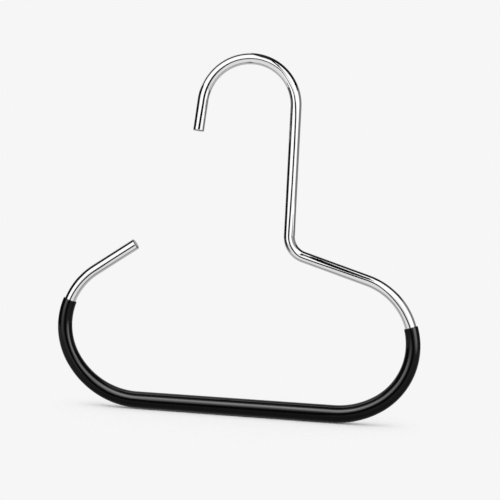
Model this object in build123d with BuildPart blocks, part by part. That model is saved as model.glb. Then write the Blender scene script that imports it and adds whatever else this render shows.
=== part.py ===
# Open-ended wire hanger for scarves and belts: one bent wire with a black dipped coat round its lower loop.
# Millimetres. The origin is the middle of the hook's curve, where a closet rail lies. The wire stays in
# the XZ plane with +Z up, and -Y is the front.
import os

from build123d import *

# Wire and hook
wire_diameter = 5.0
wire_edge_radius = 0.6
hook_inside_diameter = 36.5
hook_tip_straight = 13.9
hook_tip_angle = 5.5  # how far the hook's tip spreads from upright

# Stem, neck and right shoulder, bend radii at the middle of the wire
stem_straight = 55.9
neck_bend_radius = 9.5
shoulder_straight = 29.7
shoulder_angle = 17.0  # below level

# Lower loop: round sides, gentler corners into the level bar, and the free arm on the left
side_bend_radius = 29.4
corner_bend_radius = 36.4
right_corner_angle = 31.0
left_corner_angle = 56.0
bar_straight = 86.8
arm_straight = 22.1
arm_angle = 34.7  # above level

# Dipped coat: how far it climbs each side bend, and its thickness from the right end round to the left end,
# thin where it was dipped last and thick where it drained to the bar
right_cover_angle = 76.8
left_cover_angle = 54.4
right_end_coat = 0.55
right_side_coat = 1.15
right_bar_coat = 1.35
left_bar_coat = 1.2
left_side_coat = 0.85
left_end_coat = 0.6
coat_edge_radius = 0.35
coat_clearance = 0.02  # between the wire and the coat's bore, all round

os.makedirs("parts", exist_ok=True)

wire_radius = wire_diameter / 2
hook_radius = hook_inside_diameter / 2 + wire_radius
right_side_angle = 180 - shoulder_angle - right_corner_angle
left_side_angle = 180 - arm_angle - left_corner_angle


def section_plane(edge, share):
    # Plane square to the wire at a share of an edge, with its X axis out of the hanger's plane
    return Plane(origin=edge @ share, x_dir=(0, 1, 0), z_dir=edge % share)


# Middle line of the wire, from the hook's tip over the rail, down the stem and round the loop to the arm's end
with BuildLine(Plane.XZ) as wire_route:
    hook_curve = CenterArc((0, 0), hook_radius, 180 - hook_tip_angle, hook_tip_angle - 180)
    hook_tip = Line((hook_curve @ 0) - (hook_curve % 0) * hook_tip_straight, hook_curve @ 0)
    stem = PolarLine(hook_curve @ 1, stem_straight, direction=hook_curve % 1)
    neck = JernArc(stem @ 1, stem % 1, neck_bend_radius, 90 - shoulder_angle)
    shoulder = PolarLine(neck @ 1, shoulder_straight, direction=neck % 1)
    right_side = JernArc(shoulder @ 1, shoulder % 1, side_bend_radius, -right_side_angle)
    right_corner = JernArc(right_side @ 1, right_side % 1, corner_bend_radius, -right_corner_angle)
    bar = PolarLine(right_corner @ 1, bar_straight, direction=right_corner % 1)
    left_corner = JernArc(bar @ 1, bar % 1, corner_bend_radius, -left_corner_angle)
    left_side = JernArc(left_corner @ 1, left_corner % 1, side_bend_radius, -left_side_angle)
    arm = PolarLine(left_side @ 1, arm_straight, direction=left_side % 1)

# Middle line of the coat: the stretch of the same route that was dipped
right_start_share = 1 - right_cover_angle / right_side_angle
with BuildLine(Plane.XZ) as coat_route:
    right_cover = JernArc(
        right_side @ right_start_share, right_side % right_start_share, side_bend_radius, -right_cover_angle
    )
    add(right_corner)
    add(bar)
    add(left_corner)
    left_cover = JernArc(left_side @ 0, left_side % 0, side_bend_radius, -left_cover_angle)

# Chromed steel wire, cut square at both ends with the edges rubbed round
with BuildPart() as hanger_wire:
    with BuildSketch(section_plane(hook_tip, 0)):
        Circle(wire_radius)
    sweep(path=wire_route.wire())
    wire_ends = hanger_wire.faces().filter_by(GeomType.PLANE)
    fillet(wire_ends.edges(), wire_edge_radius)

# Black coat, each stretch tapered between its two thicknesses, with the wire's way left open
coat_stretches = [
    (right_cover, right_end_coat, right_side_coat),
    (right_corner, right_side_coat, right_bar_coat),
    (bar, right_bar_coat, left_bar_coat),
    (left_corner, left_bar_coat, left_side_coat),
    (left_cover, left_side_coat, left_end_coat),
]
with BuildPart() as grip_sleeve:
    for edge, first_coat, last_coat in coat_stretches:
        with BuildSketch(section_plane(edge, 0)):
            Circle(wire_radius + first_coat)
        with BuildSketch(section_plane(edge, 1)):
            Circle(wire_radius + last_coat)
        sweep(path=edge, multisection=True)
    coat_ends = grip_sleeve.faces().filter_by(GeomType.PLANE)
    fillet(coat_ends.edges(), coat_edge_radius)
    with BuildSketch(section_plane(right_cover, 0)):
        Circle(wire_radius + coat_clearance)
    sweep(path=coat_route.wire(), mode=Mode.SUBTRACT)

hanger_wire.part.label = "hanger_wire"
export_step(hanger_wire.part, "parts/hanger_wire.step")

grip_sleeve.part.label = "grip_sleeve"
export_step(grip_sleeve.part, "parts/grip_sleeve.step")
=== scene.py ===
# Open-ended wire hanger: a chromed wire with a black dipped grip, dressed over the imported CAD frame
import math
from collections import namedtuple

import bmesh
import bpy
from mathutils import Matrix, Vector


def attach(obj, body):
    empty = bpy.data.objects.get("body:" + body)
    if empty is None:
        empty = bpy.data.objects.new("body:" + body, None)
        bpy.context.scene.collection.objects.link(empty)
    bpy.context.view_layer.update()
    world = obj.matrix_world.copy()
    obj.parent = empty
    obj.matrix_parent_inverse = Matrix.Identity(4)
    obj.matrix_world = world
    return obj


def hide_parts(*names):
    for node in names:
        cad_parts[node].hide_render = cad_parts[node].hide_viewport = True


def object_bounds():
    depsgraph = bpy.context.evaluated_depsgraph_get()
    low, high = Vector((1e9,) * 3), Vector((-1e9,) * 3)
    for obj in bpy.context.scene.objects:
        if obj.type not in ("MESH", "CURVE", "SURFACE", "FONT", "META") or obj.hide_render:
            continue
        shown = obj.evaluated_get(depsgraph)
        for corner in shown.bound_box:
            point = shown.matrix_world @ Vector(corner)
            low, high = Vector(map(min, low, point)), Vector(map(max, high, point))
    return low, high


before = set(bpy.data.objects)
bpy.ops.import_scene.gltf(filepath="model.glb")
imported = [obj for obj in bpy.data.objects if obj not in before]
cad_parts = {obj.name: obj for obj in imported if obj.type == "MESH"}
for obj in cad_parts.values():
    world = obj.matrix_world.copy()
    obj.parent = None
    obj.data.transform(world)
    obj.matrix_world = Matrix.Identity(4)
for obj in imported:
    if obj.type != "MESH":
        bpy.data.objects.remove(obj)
cadLow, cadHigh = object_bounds()
scene = bpy.context.scene
mm = 0.001

# A Mix node has two inputs and an output for each kind of value
numberA, numberB, mixedNumber = 2, 3, 0
colourA, colourB, mixedColour = 6, 7, 2


def hexToLinear(code):
    # sRGB hex to the linear colour that a shader socket takes
    channels = [int(code[i:i + 2], 16) / 255 for i in (1, 3, 5)]
    linear = [c / 12.92 if c <= 0.04045 else ((c + 0.055) / 1.055) ** 2.4 for c in channels]
    return (*linear, 1.0)


def addNode(tree, kind, inputs=None, **settings):
    # one node with its settings; an input is a plain value or the output that feeds it
    node = tree.nodes.new(kind)
    for name, value in settings.items():
        setattr(node, name, value)
    for name, value in (inputs or {}).items():
        if isinstance(value, bpy.types.NodeSocket):
            tree.links.new(value, node.inputs[name])
        else:
            node.inputs[name].default_value = value
    return node


def emptyMaterial(name):
    material = bpy.data.materials.new(name)
    material.use_nodes = True
    material.node_tree.nodes.clear()
    return material


def addToScene(name, mesh, material):
    item = bpy.data.objects.new(name, mesh)
    item.data.materials.append(material)
    scene.collection.objects.link(item)
    return item


# Bending plan of the wire from the hook's tip to the arm's end: a straight run has its length in mm, and
# a bend its radius in mm and its turn in degrees
bendPlan = {
    "runs": {
        "hookTip": ("straight", 13.9),
        "hook": ("bend", 20.75, -174.5),  # over the rail, whose middle is the frame's origin
        "stem": ("straight", 55.9),
        "neck": ("bend", 9.5, 73.0),
        "shoulder": ("straight", 29.7),
        "rightSide": ("bend", 29.4, -132.0),
        "rightCorner": ("bend", 36.4, -31.0),
        "bar": ("straight", 86.8),
        "leftCorner": ("bend", 36.4, -56.0),
        "leftSide": ("bend", 29.4, -89.3),
        "freeArm": ("straight", 22.1),
    },
    "straightStep": 2.0,  # mm between stations
    "turnStep": 1.5,  # degrees between stations
}
wireStation = namedtuple("wireStation", "x z heading distance")  # on the wire's middle, mm and radians


def walkRoute(plan):
    # stations along the whole wire, and the distance where each run starts
    _, tipLength = plan["runs"]["hookTip"]
    _, hookRadius, hookTurn = plan["runs"]["hook"]
    hookStart = math.radians(-hookTurn)
    heading = math.radians(-90 - hookTurn)  # so that the stem hangs straight down
    x = hookRadius * math.cos(hookStart) - tipLength * math.cos(heading)
    z = hookRadius * math.sin(hookStart) - tipLength * math.sin(heading)
    distance = 0.0
    stations, starts = [wireStation(x, z, heading, distance)], {}
    for name, (kind, size, *turns) in plan["runs"].items():
        starts[name] = distance
        if kind == "bend":
            turn = math.radians(turns[0])
            length = size * abs(turn)
            steps = math.ceil(math.degrees(abs(turn)) / plan["turnStep"])
            chord = 2 * size * math.sin(abs(turn / steps / 2))
        else:
            turn, length = 0.0, size
            steps = math.ceil(length / plan["straightStep"])
            chord = length / steps
        half = turn / steps / 2
        for _ in range(steps):
            x += chord * math.cos(heading + half)
            z += chord * math.sin(heading + half)
            heading += 2 * half
            distance += length / steps
            stations.append(wireStation(x, z, heading, distance))
    return stations, starts


route, runStarts = walkRoute(bendPlan)
routeLength = route[-1].distance
print(f"route: {len(route)} stations along {routeLength:.1f} mm of wire")


def stationAt(distance):
    # a station at any distance, between two of the walked ones
    for a, b in zip(route, route[1:]):
        if distance <= b.distance:
            share = (distance - a.distance) / (b.distance - a.distance)
            return wireStation(*(p + (q - p) * share for p, q in zip(a, b)))
    return route[-1]


def roundedLip(edgeRadius, steps):
    # (distance in from the end, drop from the full radius) round a rubbed edge, from the end face outwards
    turns = [math.pi / 2 * i / steps for i in range(steps, -1, -1)]
    return [(edgeRadius * (1 - math.sin(a)), edgeRadius * (1 - math.cos(a))) for a in turns]


def sweptMesh(name, rings, sides, closed):
    # skins rings of (station, radius); closed joins the last ring to the first, else each end gets a middle
    # point. Every point also keeps its place on the wire before bending, for patterns that follow the wire
    skin = bmesh.new()
    unbent = skin.verts.layers.float_vector.new("unbentWire")

    def addPoint(station, radius, angle):
        x, z, heading, distance = station
        sideways, outward = radius * math.cos(angle), radius * math.sin(angle)
        point = skin.verts.new(
            Vector((x - outward * math.sin(heading), sideways, z + outward * math.cos(heading))) * mm
        )
        point[unbent] = Vector((distance, sideways, outward)) * mm
        return point

    angles = [2 * math.pi * side / sides for side in range(sides)]
    loops = [[addPoint(station, radius, angle) for angle in angles] for station, radius in rings]
    pairs = list(zip(loops, loops[1:]))
    if closed:
        pairs.append((loops[-1], loops[0]))
    else:
        for (station, _), loop in ((rings[0], loops[0]), (rings[-1], loops[-1])):
            middle = addPoint(station, 0.0, 0.0)
            for side in range(sides):
                skin.faces.new((loop[side - 1], loop[side], middle))
    for near, far in pairs:
        for side in range(sides):
            skin.faces.new((near[side - 1], near[side], far[side], far[side - 1]))
    bmesh.ops.recalc_face_normals(skin, faces=skin.faces)
    for face in skin.faces:
        face.smooth = True
    mesh = bpy.data.meshes.new(name)
    skin.to_mesh(mesh)
    skin.free()
    return mesh


# Drawn steel wire, sheared square at both ends, with the edges rubbed round
wireShape = {
    "diameter": 5.0,  # mm
    "edgeRadius": 0.6,  # mm
    "edgeSteps": 8,
    "faceShares": (0.3, 0.65),  # rings on the end face, as shares of its radius
    "sides": 96,
}

# Bright chrome plating over that wire: a clear mirror, with the faint long lines that the drawing die
# leaves under the plating and a duller skin on the sheared ends
chromeLook = {
    "plating": "#E2E2E2",
    "lines": "#D9D9D9",
    "sheared": "#787878",
    "lineLength": 60.0,  # mm along the wire
    "lineWidth": 0.4,  # mm round it; real ones are finer, drawn this coarse to show
    "lineDepth": 0.0004,  # mm
    "lineDetail": 2.0,
    "noiseSpan": (0.3, 0.7),  # what the noise mostly stays within
    "roughness": (0.03, 0.06),
    "endRoughness": 0.2,
    "endDepth": (0.25, 0.5),  # mm of duller skin at each sheared end, fading out
}


def brightChromePlating(look):
    material = emptyMaterial("brightChromePlating")
    tree = material.node_tree
    along, across = 1 / look["lineLength"] / mm, 1 / look["lineWidth"] / mm
    noiseLow, noiseHigh = look["noiseSpan"]
    smoothest, roughest = look["roughness"]
    dullDepth, clearDepth = look["endDepth"]
    place = addNode(tree, "ShaderNodeAttribute", attribute_name="unbentWire")
    stretched = addNode(tree, "ShaderNodeVectorMath", {
        0: place.outputs["Vector"], 1: (along, across, across),
    }, operation="MULTIPLY")
    lines = addNode(tree, "ShaderNodeTexNoise", {
        "Vector": stretched.outputs[0], "Scale": 1.0, "Detail": look["lineDetail"],
    })
    colour = addNode(tree, "ShaderNodeMix", {
        "Factor": lines.outputs["Fac"],
        colourA: hexToLinear(look["plating"]), colourB: hexToLinear(look["lines"]),
    }, data_type="RGBA")
    polish = addNode(tree, "ShaderNodeMapRange", {
        "Value": lines.outputs["Fac"], "From Min": noiseLow, "From Max": noiseHigh,
        "To Min": smoothest, "To Max": roughest,
    })
    fromTip = addNode(tree, "ShaderNodeSeparateXYZ", {0: place.outputs["Vector"]})
    fromArm = addNode(tree, "ShaderNodeMath", {
        0: routeLength * mm, 1: fromTip.outputs["X"],
    }, operation="SUBTRACT")
    fromEnd = addNode(tree, "ShaderNodeMath", {
        0: fromTip.outputs["X"], 1: fromArm.outputs[0],
    }, operation="MINIMUM")
    sheared = addNode(tree, "ShaderNodeMapRange", {
        "Value": fromEnd.outputs[0], "From Min": dullDepth * mm, "From Max": clearDepth * mm,
        "To Min": 1.0, "To Max": 0.0,
    })
    skin = addNode(tree, "ShaderNodeMix", {
        "Factor": sheared.outputs[0],
        colourA: colour.outputs[mixedColour], colourB: hexToLinear(look["sheared"]),
    }, data_type="RGBA")
    roughness = addNode(tree, "ShaderNodeMix", {
        "Factor": sheared.outputs[0], numberA: polish.outputs[0], numberB: look["endRoughness"],
    }, data_type="FLOAT")
    ridges = addNode(tree, "ShaderNodeBump", {
        "Height": lines.outputs["Fac"], "Strength": 1.0, "Distance": look["lineDepth"] * mm,
    })
    shader = addNode(tree, "ShaderNodeBsdfPrincipled", {
        "Base Color": skin.outputs[mixedColour], "Metallic": 1.0,
        "Roughness": roughness.outputs[mixedNumber], "Normal": ridges.outputs[0],
    })
    addNode(tree, "ShaderNodeOutputMaterial", {"Surface": shader.outputs[0]})
    return material


def buildWire(shape, material):
    radius, edge = shape["diameter"] / 2, shape["edgeRadius"]
    lip = roundedLip(edge, shape["edgeSteps"])
    first = [(stationAt(0.0), (radius - edge) * share) for share in shape["faceShares"]]
    first += [(stationAt(inward), radius - drop) for inward, drop in lip]
    last = [(stationAt(routeLength - inward), radius - drop) for inward, drop in reversed(lip)]
    last += [(stationAt(routeLength), (radius - edge) * share) for share in reversed(shape["faceShares"])]
    between = [(station, radius) for station in route if edge < station.distance < routeLength - edge]
    mesh = sweptMesh("chromedWire", first + between + last, shape["sides"], closed=False)
    return addToScene("chromedWire", mesh, material)


chromedWire = buildWire(wireShape, brightChromePlating(chromeLook))
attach(chromedWire, "root")
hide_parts("hanger_wire")
print(f"chromed wire: {len(chromedWire.data.polygons)} faces")

# Black coat round the lower loop
gripShape = {
    "rightCover": 76.8,  # degrees that it climbs up the right side's bend
    "leftCover": 54.4,  # the same on the left
    "thickness": (0.55, 1.15, 1.35, 1.2, 0.85, 0.6),  # mm, from the right end to the left, run by run
    "clearance": 0.02,  # mm round the wire
    "edgeRadius": 0.35,  # mm
    "edgeSteps": 6,
    "sides": 96,
}

# Black PVC plastisol, dipped and oven cured: a deep black with a wet gloss, a faint orange peel and
# slightly uneven shine where it drained
vinylLook = {
    "black": "#060606",
    "bloom": "#0A0A0A",
    "bloomSize": 7.0,  # mm
    "bloomDetail": 3.0,
    "peelSize": 2.2,  # mm
    "peelDetail": 1.0,
    "peelDepth": 0.002,  # mm
    "noiseSpan": (0.3, 0.7),
    "roughness": (0.08, 0.11),
    "ior": 1.53,
    "specular": 0.12,
}


def dippedBlackVinyl(look):
    material = emptyMaterial("dippedBlackVinyl")
    tree = material.node_tree
    noiseLow, noiseHigh = look["noiseSpan"]
    smoothest, roughest = look["roughness"]
    place = addNode(tree, "ShaderNodeAttribute", attribute_name="unbentWire")
    bloom = addNode(tree, "ShaderNodeTexNoise", {
        "Vector": place.outputs["Vector"],
        "Scale": 1 / look["bloomSize"] / mm, "Detail": look["bloomDetail"],
    })
    peel = addNode(tree, "ShaderNodeTexNoise", {
        "Vector": place.outputs["Vector"],
        "Scale": 1 / look["peelSize"] / mm, "Detail": look["peelDetail"],
    })
    colour = addNode(tree, "ShaderNodeMix", {
        "Factor": bloom.outputs["Fac"],
        colourA: hexToLinear(look["black"]), colourB: hexToLinear(look["bloom"]),
    }, data_type="RGBA")
    gloss = addNode(tree, "ShaderNodeMapRange", {
        "Value": bloom.outputs["Fac"], "From Min": noiseLow, "From Max": noiseHigh,
        "To Min": smoothest, "To Max": roughest,
    })
    ripple = addNode(tree, "ShaderNodeBump", {
        "Height": peel.outputs["Fac"], "Strength": 1.0, "Distance": look["peelDepth"] * mm,
    })
    shader = addNode(tree, "ShaderNodeBsdfPrincipled", {
        "Base Color": colour.outputs[mixedColour], "Roughness": gloss.outputs[0], "IOR": look["ior"],
        "Specular IOR Level": look["specular"], "Normal": ripple.outputs[0],
    })
    addNode(tree, "ShaderNodeOutputMaterial", {"Surface": shader.outputs[0]})
    return material


def buildGrip(shape, wire, material):
    wireRadius, edge = wire["diameter"] / 2, shape["edgeRadius"]
    _, rightRadius, _ = bendPlan["runs"]["rightSide"]
    _, leftRadius, _ = bendPlan["runs"]["leftSide"]
    first = runStarts["rightCorner"] - rightRadius * math.radians(shape["rightCover"])
    last = runStarts["leftSide"] + leftRadius * math.radians(shape["leftCover"])
    marks = [first, *(runStarts[run] for run in ("rightCorner", "bar", "leftCorner", "leftSide")), last]

    def coatRadius(distance):
        for i in range(len(marks) - 1):
            if distance <= marks[i + 1]:
                share = (distance - marks[i]) / (marks[i + 1] - marks[i])
                here, there = shape["thickness"][i:i + 2]
                return wireRadius + here + (there - here) * share
        return wireRadius + shape["thickness"][-1]

    lip = roundedLip(edge, shape["edgeSteps"])
    inside = [station for station in route if first + edge < station.distance < last - edge]
    outer = [(stationAt(first + inward), coatRadius(first + inward) - drop) for inward, drop in lip]
    outer += [(station, coatRadius(station.distance)) for station in inside]
    lip.reverse()
    outer += [(stationAt(last - inward), coatRadius(last - inward) - drop) for inward, drop in lip]
    boreRadius = wireRadius + shape["clearance"]
    bore = [(station, boreRadius) for station in (stationAt(last), *reversed(inside), stationAt(first))]
    mesh = sweptMesh("blackGrip", outer + bore, shape["sides"], closed=True)
    return addToScene("blackGrip", mesh, material)


blackGrip = buildGrip(gripShape, wireShape, dippedBlackVinyl(vinylLook))
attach(blackGrip, "root")
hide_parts("grip_sleeve")
print(f"black grip: {len(blackGrip.data.polygons)} faces")

# Camera where the photo was taken, level with the shoulder and a little to the right
photoView = {
    "azimuth": 8.807,  # degrees to the right of straight on
    "roll": 2.988,  # degrees
    "lens": 86.4,  # mm
    "sensor": 36.0,  # mm
    "aim": (3.77, 0.0, -63.16),  # mm, where the middle of the picture meets the wire
    "distance": 526.0,  # mm
}


def placeCamera(setup):
    turn, roll = math.radians(setup["azimuth"]), math.radians(setup["roll"])
    back = Vector((math.sin(turn), -math.cos(turn), 0.0))
    level, upright = Vector((math.cos(turn), math.sin(turn), 0.0)), Vector((0.0, 0.0, 1.0))
    right = level * math.cos(roll) + upright * math.sin(roll)
    up = upright * math.cos(roll) - level * math.sin(roll)
    eye = Vector(setup["aim"]) + back * setup["distance"]
    lens = bpy.data.cameras.new("photoCamera")
    lens.lens, lens.sensor_width = setup["lens"], setup["sensor"]
    camera = bpy.data.objects.new("photoCamera", lens)
    camera.matrix_world = Matrix.Translation(eye * mm) @ Matrix((right, up, back)).transposed().to_4x4()
    scene.collection.objects.link(camera)
    scene.camera = camera
    return right, up, back, eye


viewRight, viewUp, viewBack, eyePlace = placeCamera(photoView)
scene.view_settings.view_transform = "Standard"
print("camera placed")

# Seamless paper: the backdrop is its colour for whatever sees it, and plain even light for everything else
paperLook = {
    "paper": "#F6F6F6",
    "light": "#FFFFFF",
    "lightLevel": 0.62,  # the soft sun adds the rest of a plain level of 1
    "sunStrength": 1.26,
    "sunSoftness": 60.0,  # degrees across
    "sunHeight": 72.0,  # degrees above the floor
    "sunSide": 20.0,  # degrees left of the front
    "floorRadius": 600.0,  # mm
    "floorSides": 96,
    "fade": (35.0, 90.0),  # mm from the middle, where the floor melts into the backdrop
}


def seamlessBackdrop(look):
    world = bpy.data.worlds.new("seamlessBackdrop")
    world.use_nodes = True
    tree = world.node_tree
    tree.nodes.clear()
    path = addNode(tree, "ShaderNodeLightPath")
    direct = addNode(tree, "ShaderNodeMath", {
        0: path.outputs["Is Camera Ray"], 1: path.outputs["Is Glossy Ray"],
    }, operation="MAXIMUM")
    seen = addNode(tree, "ShaderNodeMath", {
        0: direct.outputs[0], 1: path.outputs["Is Transmission Ray"],
    }, operation="MAXIMUM")
    light = addNode(tree, "ShaderNodeBackground", {
        "Color": hexToLinear(look["light"]), "Strength": look["lightLevel"],
    })
    paper = addNode(tree, "ShaderNodeBackground", {"Color": hexToLinear(look["paper"]), "Strength": 1.0})
    either = addNode(tree, "ShaderNodeMixShader", {
        0: seen.outputs[0], 1: light.outputs[0], 2: paper.outputs[0],
    })
    addNode(tree, "ShaderNodeOutputWorld", {"Surface": either.outputs[0]})
    scene.world = world


def softSun(look):
    lamp = bpy.data.lights.new("softSun", "SUN")
    lamp.energy, lamp.angle = look["sunStrength"], math.radians(look["sunSoftness"])
    sun = bpy.data.objects.new("softSun", lamp)
    sun.rotation_euler = (math.radians(90 - look["sunHeight"]), 0.0, -math.radians(look["sunSide"]))
    sun.visible_glossy = False  # the softbox is what the finishes mirror
    scene.collection.objects.link(sun)


def seamlessFloor(look):
    fadeStart, fadeEnd = look["fade"]
    material = emptyMaterial("seamlessPaper")
    tree = material.node_tree
    place = addNode(tree, "ShaderNodeTexCoord")
    reach = addNode(tree, "ShaderNodeVectorMath", {0: place.outputs["Object"]}, operation="LENGTH")
    fade = addNode(tree, "ShaderNodeMapRange", {
        "Value": reach.outputs["Value"], "From Min": fadeStart * mm, "From Max": fadeEnd * mm,
    }, interpolation_type="SMOOTHSTEP")
    paper = addNode(tree, "ShaderNodeBsdfDiffuse", {"Color": hexToLinear(look["paper"])})
    clear = addNode(tree, "ShaderNodeBsdfTransparent")
    faded = addNode(tree, "ShaderNodeMixShader", {
        0: fade.outputs[0], 1: paper.outputs[0], 2: clear.outputs[0],
    })
    addNode(tree, "ShaderNodeOutputMaterial", {"Surface": faded.outputs[0]})
    disc = bmesh.new()
    radius, sides = look["floorRadius"] * mm, look["floorSides"]
    bmesh.ops.create_circle(disc, cap_ends=True, segments=sides, radius=radius)
    mesh = bpy.data.meshes.new("seamlessFloor")
    disc.to_mesh(mesh)
    disc.free()
    floor = addToScene("seamlessFloor", mesh, material)
    floor.location = (0.0, 0.0, cadLow.z)


seamlessBackdrop(paperLook)
softSun(paperLook)
seamlessFloor(paperLook)
print("backdrop and floor laid")

# Softbox, flags and cards round the hanger, as the bands along the chrome show them. Reflections alone
# meet them, so the light on the paper stays plain. An angle is degrees away from the line back to the
# camera, and a clock angle goes anticlockwise from the picture's right, both seen from the sheet's middle
studio = {
    "middle": (0.0, 0.0, -70.0),  # mm; this, the distance and the strength hold where a sheet has none
    "distance": 1000.0,  # mm
    "brightest": 1.0,
    "step": 4.0,  # degrees between the points of a sheet
}

# Curved sheets: each table holds (degrees, share of the brightest)
curvedSheets = {
    "softbox": {
        "colour": "#FFFFFF",
        "brightest": 1.4,
        "distance": 1100.0,
        "angles": ((4, 1.0), (86, 1.0)),
        "clocks": ((-14, 1.0), (190, 1.0)),
    },
    "leftFlag": {
        "colour": "#141414",
        "angles": ((64, 1.0), (132, 1.0)),
        "clocks": ((150, 1.0), (192, 1.0)),
    },
    "topFlag": {
        "colour": "#2C2C2C",
        "angles": ((75, 1.0), (110, 1.0)),
        "clocks": ((92, 1.0), (150, 1.0)),
    },
    "upperFlag": {
        "colour": "#2C2C2C",
        "angles": ((82, 1.0), (128, 1.0)),
        "clocks": ((62, 1.0), (92, 1.0)),
    },
    "rightFlag": {
        "colour": "#2C2C2C",
        "angles": ((72, 1.0), (128, 1.0)),
        "clocks": ((33, 1.0), (62, 1.0)),
    },
    "sideGrey": {
        "colour": "#8A8A8A",
        "angles": ((69, 1.0), (140, 1.0)),
        "clocks": ((1, 1.0), (33, 1.0)),
    },
    "rightCard": {
        "colour": "#7A7A7A",
        "angles": ((79, 1.0), (150, 1.0)),
        "clocks": ((-40, 1.0), (1, 1.0)),
    },
    "hookFlag": {
        "colour": "#101010",
        "middle": (12.0, 0.0, 12.0),
        "distance": 120.0,
        "angles": ((60, 1.0), (100, 1.0)),
        "clocks": ((22, 1.0), (80, 1.0)),
    },
    "hookWedge": {
        "colour": "#303030",
        "middle": (12.0, 0.0, 12.0),
        "distance": 120.0,
        "angles": ((50, 1.0), (100, 1.0)),
        "clocks": ((78, 1.0), (101, 1.0)),
    },
    "armFlag": {
        "colour": "#1C1C1C",
        "middle": (-55.0, 0.0, -65.0),
        "distance": 120.0,
        "angles": ((66, 1.0), (122, 1.0)),
        "clocks": ((108, 1.0), (160, 1.0)),
    },
    "neckFlag": {
        "colour": "#FFFFFF",
        "middle": (22.0, 0.0, -60.0),
        "distance": 40.0,
        "angles": ((66, 1.0), (122, 1.0)),
        "clocks": ((182, 0.008), (194, 0.02), (204, 0.12), (216, 0.4)),  # black, paling towards the floor
    },
    "shoulderStrip": {
        "colour": "#0C0C0C",
        "distance": 1080.0,
        "angles": ((14, 1.0), (54, 1.0)),
        "clocks": ((-6, 1.0), (4.5, 1.0)),
        "lean": ((14, 117), (18, 107), (23, 97), (32, 88), (42, 83), (54, 79)),  # (angle, turn of clocks)
    },
}

# Hot lights that the coat alone is given, since chrome mirrors the plain softbox as white anyway
gripGlow = {
    "keyGlow": {
        "colour": "#FFFFFF",
        "brightest": 22.0,
        "distance": 1050.0,
        "angles": (
            (18, 0.0), (24, 0.2), (30, 0.42), (36, 0.65), (42, 0.85), (48, 1.05), (54, 0.65), (60, 0.12),
            (66, 0.0),
        ),
        "clocks": (
            (48, 0.6), (78, 0.75), (92, 0.85), (106, 1.0), (135, 0.7), (158, 0.55), (170, 0.3), (178, 0.0),
        ),
    },
    "sideGlow": {
        "colour": "#FFFFFF",
        "brightest": 22.0,
        "distance": 1050.0,
        "angles": (
            (14, 0.0), (20, 0.2), (28, 0.65), (36, 1.0), (44, 0.75), (52, 0.4), (60, 0.2), (70, 0.0),
        ),
        "clocks": ((160, 0.0), (170, 0.25), (178, 0.25), (184, 0.12), (190, 0.02), (194, 0.0)),
    },
    "fillGlow": {
        "colour": "#FFFFFF",
        "brightest": 22.0,
        "distance": 450.0,
        "angles": (
            (20, 0.0), (25, 0.06), (32, 0.35), (41, 0.85), (50, 1.0), (58, 0.75), (66, 0.2), (74, 0.0),
        ),
        "clocks": ((-14, 0.12), (-6, 0.4), (2, 0.55), (10, 0.6), (42, 0.65), (48, 0.62)),
    },
    "rimGlow": {
        "colour": "#FFFFFF",
        "brightest": 4.0,
        "distance": 330.0,
        "angles": ((97, 0.0), (102, 0.8), (106, 1.0), (111, 0.8), (118, 0.0)),
        "clocks": ((70, 0.0), (84, 1.0), (116, 1.0), (132, 0.5), (144, 0.0)),
    },
}

# Painted reflections: dark strips held close in front of the hanger, which only reflections see and which
# it
# mirrors as the thin dark lines along it: (mm along the wire, right edge, left edge), each edge a share of
# the wire's radius left of its middle, looking from the hook's tip onwards
darkStrips = {
    "middleStrip": (
        # hook
        (0, -0.16, 0.14), (8, -0.19, 0.1), (14, -0.22, 0.05), (20, -0.21, 0.05), (26, -0.13, 0.09),
        (34, -0.05, 0.1), (46, -0.04, 0.08), (56, -0.07, 0.06), (61, -0.23, -0.12), (67, -0.16, -0.06),
        # stem and neck
        (73, -0.18, 0.01), (79, -0.07, 0.13), (92, -0.05, 0.17), (110, -0.07, 0.13), (120, -0.13, 0.09),
        (130, -0.195, 0.025), (138, -0.19, -0.01), (142, -0.27, -0.11),
        # shoulder and right side
        (150, -0.24, -0.07), (158, -0.18, 0.0), (166, -0.14, 0.04), (174, -0.09, 0.09), (179, -0.1, 0.06),
        (183, -0.19, -0.04), (190, -0.3, -0.13), (199, -0.29, -0.11), (206, -0.16, 0.02),
        (214, -0.05, 0.15), (230, -0.07, 0.12),
        # right corner, bar and left corner
        (255, -0.08, 0.1), (263, -0.06, 0.13), (271, 0.0, 0.2), (345, -0.01, 0.19), (353, -0.05, 0.14),
        (366, 0.03, 0.24), (374, -0.02, 0.19), (382, -0.07, 0.13),
        # left side and free arm
        (392, -0.12, 0.08), (405, -0.06, 0.12), (412, -0.08, 0.09), (418, -0.15, 0.03), (428, -0.2, 0.0),
        (436, -0.15, 0.03), (452, -0.15, 0.03),
    ),
    "shoulderBand": (
        (144, 0.25, 0.5), (150, 0.14, 0.53), (155, 0.1, 0.48), (165, 0.08, 0.43), (171, 0.11, 0.4),
        (175, 0.17, 0.3), (177, 0.2, 0.24),
    ),
}
stripSetup = {
    "colour": "#101010",
    "distance": 10.0,  # mm in front of the wire
    "step": 2.0,  # mm between points
}

# A glowing sheet that the undersides mirror in place of the paper, with painted shade: darkest just under
# the hanger, where its shadow would fall, and darker behind it than in front: (mm behind the wire, share of
# white)
paintedShadePaperSheet = {
    "colour": "#FFFFFF",
    "lift": 0.2,  # mm above the floor
    "sides": (-500.0, 500.0),  # mm
    "depths": (
        (-160, 1.0), (-60, 0.98), (-14, 0.8), (-4, 0.36), (12, 0.36), (24, 0.62), (60, 0.58), (500, 0.55),
    ),
    "step": 5.0,  # mm between points
}


def viewDirection(angle, clock):
    angle, clock = math.radians(angle), math.radians(clock)
    aside = viewRight * math.cos(clock) + viewUp * math.sin(clock)
    return viewBack * math.cos(angle) + aside * math.sin(angle)


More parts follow.
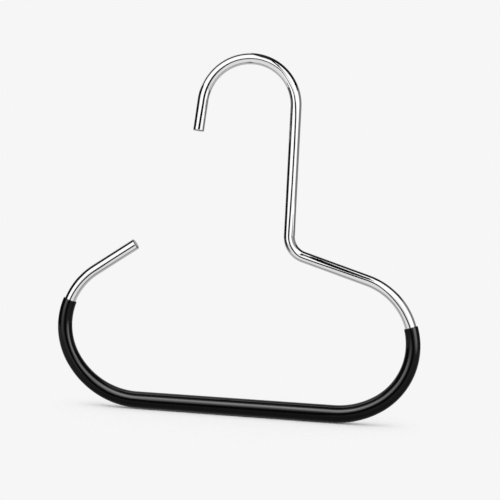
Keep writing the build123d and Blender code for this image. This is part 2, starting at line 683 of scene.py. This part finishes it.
def tableValue(table, place):
    # straight between a table's rows, and its last value past its end
    for (low, before), (high, after) in zip(table, table[1:]):
        if place <= high:
            return before + (after - before) * (place - low) / (high - low)
    return table[-1][1]


def tableSteps(table, step):
    # even places from a table's first to its last
    low, high = table[0][0], table[-1][0]
    count = math.ceil((high - low) / step)
    return [low + (high - low) * i / count for i in range(count + 1)]


def addReflectedSheet(name, rows, colour, onlyFor=None):
    # skins rows of (point, glow); the glow at each point is the strength that reflections see
    sheet = bmesh.new()
    glowLayer = sheet.verts.layers.float.new("glow")
    grid = []
    for row in rows:
        line = []
        for point, glow in row:
            line.append(sheet.verts.new(point))
            line[-1][glowLayer] = glow
        grid.append(line)
    for near, far in zip(grid, grid[1:]):
        for j in range(len(near) - 1):
            sheet.faces.new((near[j], near[j + 1], far[j + 1], far[j]))
    mesh = bpy.data.meshes.new(name)
    sheet.to_mesh(mesh)
    sheet.free()
    material = emptyMaterial(name)
    tree = material.node_tree
    glow = addNode(tree, "ShaderNodeAttribute", attribute_name="glow")
    light = addNode(tree, "ShaderNodeEmission", {
        "Color": hexToLinear(colour), "Strength": glow.outputs["Fac"],
    })
    if onlyFor:
        clear = addNode(tree, "ShaderNodeBsdfTransparent")  # the rest looks straight through
        light = addNode(tree, "ShaderNodeAddShader", {0: light.outputs[0], 1: clear.outputs[0]})
    addNode(tree, "ShaderNodeOutputMaterial", {"Surface": light.outputs[0]})
    item = addToScene(name, mesh, material)
    item.visible_camera = item.visible_diffuse = item.visible_shadow = False
    if onlyFor:
        lit = bpy.data.collections.new(name + "Lit")
        lit.objects.link(onlyFor)
        item.light_linking.receiver_collection = lit


def addCurvedSheet(name, sheet, onlyFor=None):
    setup = {**studio, **sheet}
    middle = Vector(setup["middle"])
    rows = []
    for angle in tableSteps(setup["angles"], setup["step"]):
        row = []
        lean = tableValue(setup["lean"], angle) if "lean" in setup else 0.0
        for clock in tableSteps(setup["clocks"], setup["step"]):
            glow = tableValue(setup["angles"], angle) * tableValue(setup["clocks"], clock)
            point = (middle + viewDirection(angle, clock + lean) * setup["distance"]) * mm
            row.append((point, setup["brightest"] * glow))
        rows.append(row)
    addReflectedSheet(name, rows, setup["colour"], onlyFor)


def addDarkStrip(name, edges, setup, wire):
    # the mirror law puts each edge of the strip where its reflection falls on its share of the radius
    radius, gap = wire["diameter"] / 2, setup["distance"]
    rightEdge = [(along, right) for along, right, _ in edges]
    leftEdge = [(along, left) for along, _, left in edges]
    rows = []
    for distance in tableSteps(edges, setup["step"]):
        station = stationAt(distance)
        point = Vector((station.x, 0.0, station.z))
        onwards = Vector((math.cos(station.heading), 0.0, math.sin(station.heading)))
        toEye = (eyePlace - point).normalized()
        leftwards = toEye.cross(onwards).normalized()
        row = []
        for edge in (rightEdge, leftEdge):
            share = tableValue(edge, distance)
            shift = radius * share + gap * math.tan(2 * math.asin(share))
            row.append(((point + toEye * gap + leftwards * shift) * mm, 1.0))
        rows.append(row)
    addReflectedSheet(name, rows, setup["colour"])


def addFloorSheet(name, sheet):
    height = cadLow.z + sheet["lift"] * mm
    rows = []
    for depth in tableSteps(sheet["depths"], sheet["step"]):
        glow = tableValue(sheet["depths"], depth)
        rows.append([(Vector((side * mm, depth * mm, height)), glow) for side in sheet["sides"]])
    addReflectedSheet(name, rows, sheet["colour"])


for name, sheet in curvedSheets.items():
    addCurvedSheet(name, sheet)
for name, sheet in gripGlow.items():
    addCurvedSheet(name, sheet, onlyFor=blackGrip)
for name, edges in darkStrips.items():
    addDarkStrip(name, edges, stripSetup, wireShape)
# a floor sheet with painted shade near the hanger, which only reflections see
addFloorSheet("paintedShadePaperSheet", paintedShadePaperSheet)
print(f"studio lit: {len(curvedSheets)} sheets, {len(gripGlow)} lights for the coat")
